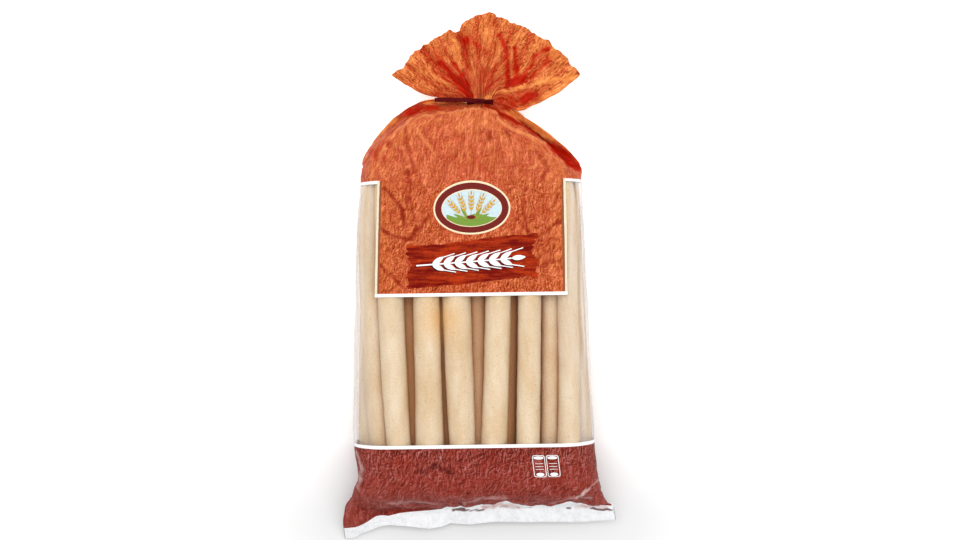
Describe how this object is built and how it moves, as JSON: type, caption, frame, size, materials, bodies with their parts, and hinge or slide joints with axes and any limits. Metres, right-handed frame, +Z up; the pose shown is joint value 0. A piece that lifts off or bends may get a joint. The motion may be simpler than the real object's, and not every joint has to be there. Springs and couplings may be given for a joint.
{
  "type": "bag of breadsticks",
  "caption": "Clear film bag of breadsticks with printed top and foot, gathered and tied at the neck under a fanned ruffle, sealed flat at the bottom, lying on its back",
  "frame": {"origin": "on the surface the pack rests on, under the middle of the pack's box", "axes": "+X across the pack to the right as seen from above with the mouth away, +Y from the bottom seal to the mouth, +Z up out of the shown front"},
  "size_m": [0.1386, 0.2715, 0.0372],
  "materials": {
    "film": "thin printed film, satin and crinkled",
    "clear_film": "thin clear film, glossy",
    "breadstick": "baked dough, dry and matte, lightly floured",
    "tie": "dark maroon plastic-covered tie"
  },
  "bodies": {
    "root": {"breadstick_bag": "film", "neck_tie": "tie"}
  },
  "joints": []
}
